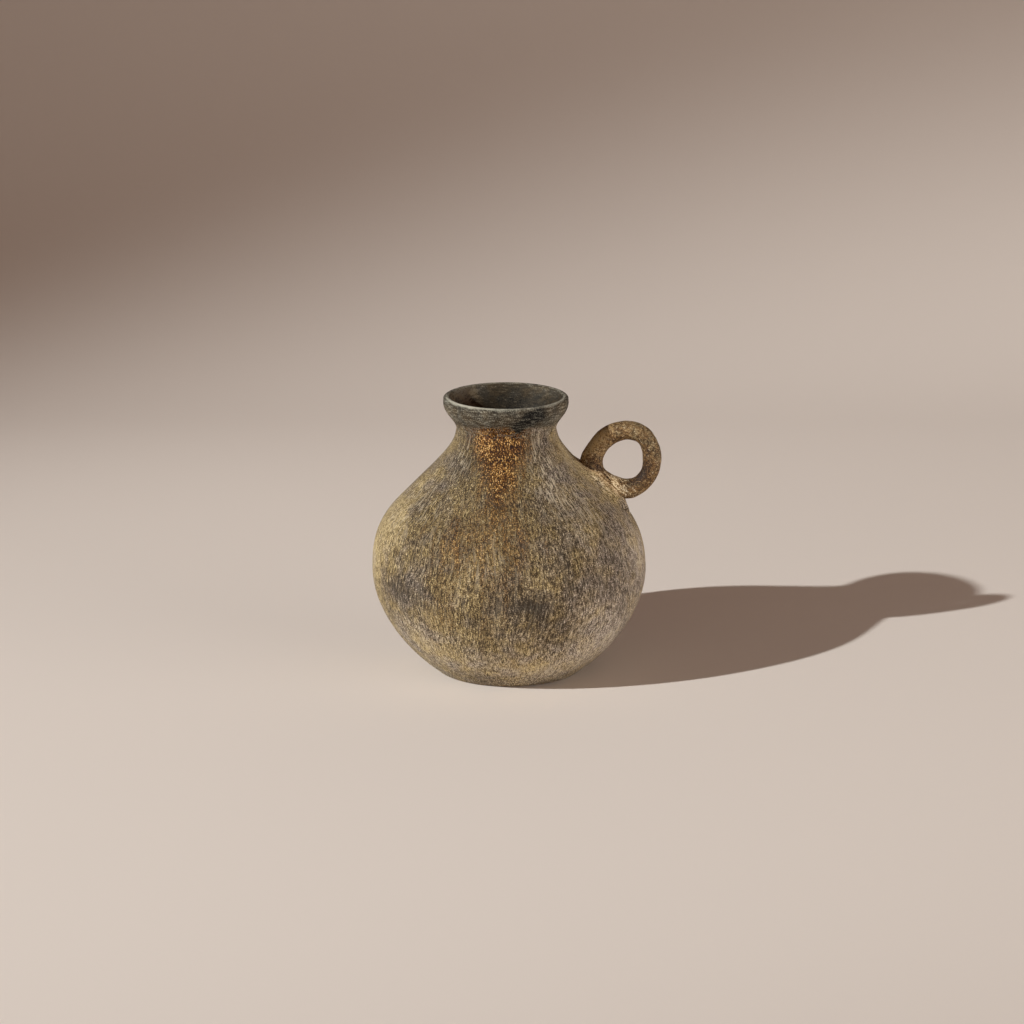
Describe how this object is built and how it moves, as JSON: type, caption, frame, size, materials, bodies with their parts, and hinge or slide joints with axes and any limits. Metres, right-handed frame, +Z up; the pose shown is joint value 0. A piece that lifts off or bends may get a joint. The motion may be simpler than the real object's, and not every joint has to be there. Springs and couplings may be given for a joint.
{
  "type": "bud vase",
  "caption": "Small pear-shaped clay bud vase with a flat base, short neck, thick rolled collar at the mouth and a fixed ring handle on the shoulder; holds a short stem or dried flowers.",
  "frame": {"origin": "centre of the flat underside, where the vase stands on a table", "axes": "+Z up along the vase's height, +X towards the ring handle, -Y towards the viewer of the picture"},
  "size_m": [0.1246, 0.1186, 0.12],
  "materials": {
    "body_slip": "matte brushed slip, streaked khaki and cream",
    "collar_slip": "smooth dark green-grey slip, worn pale at the lip",
    "ring_clay": "mottled brown clay, slightly polished by handling",
    "saddle_clay": "matte smeared tan clay"
  },
  "bodies": {
    "root": {"base_disc": "body_slip", "lower_bowl": "body_slip", "upper_bowl": "body_slip", "rim_collar": "collar_slip", "ring_handle": "ring_clay", "handle_saddle": "saddle_clay"}
  },
  "joints": []
}
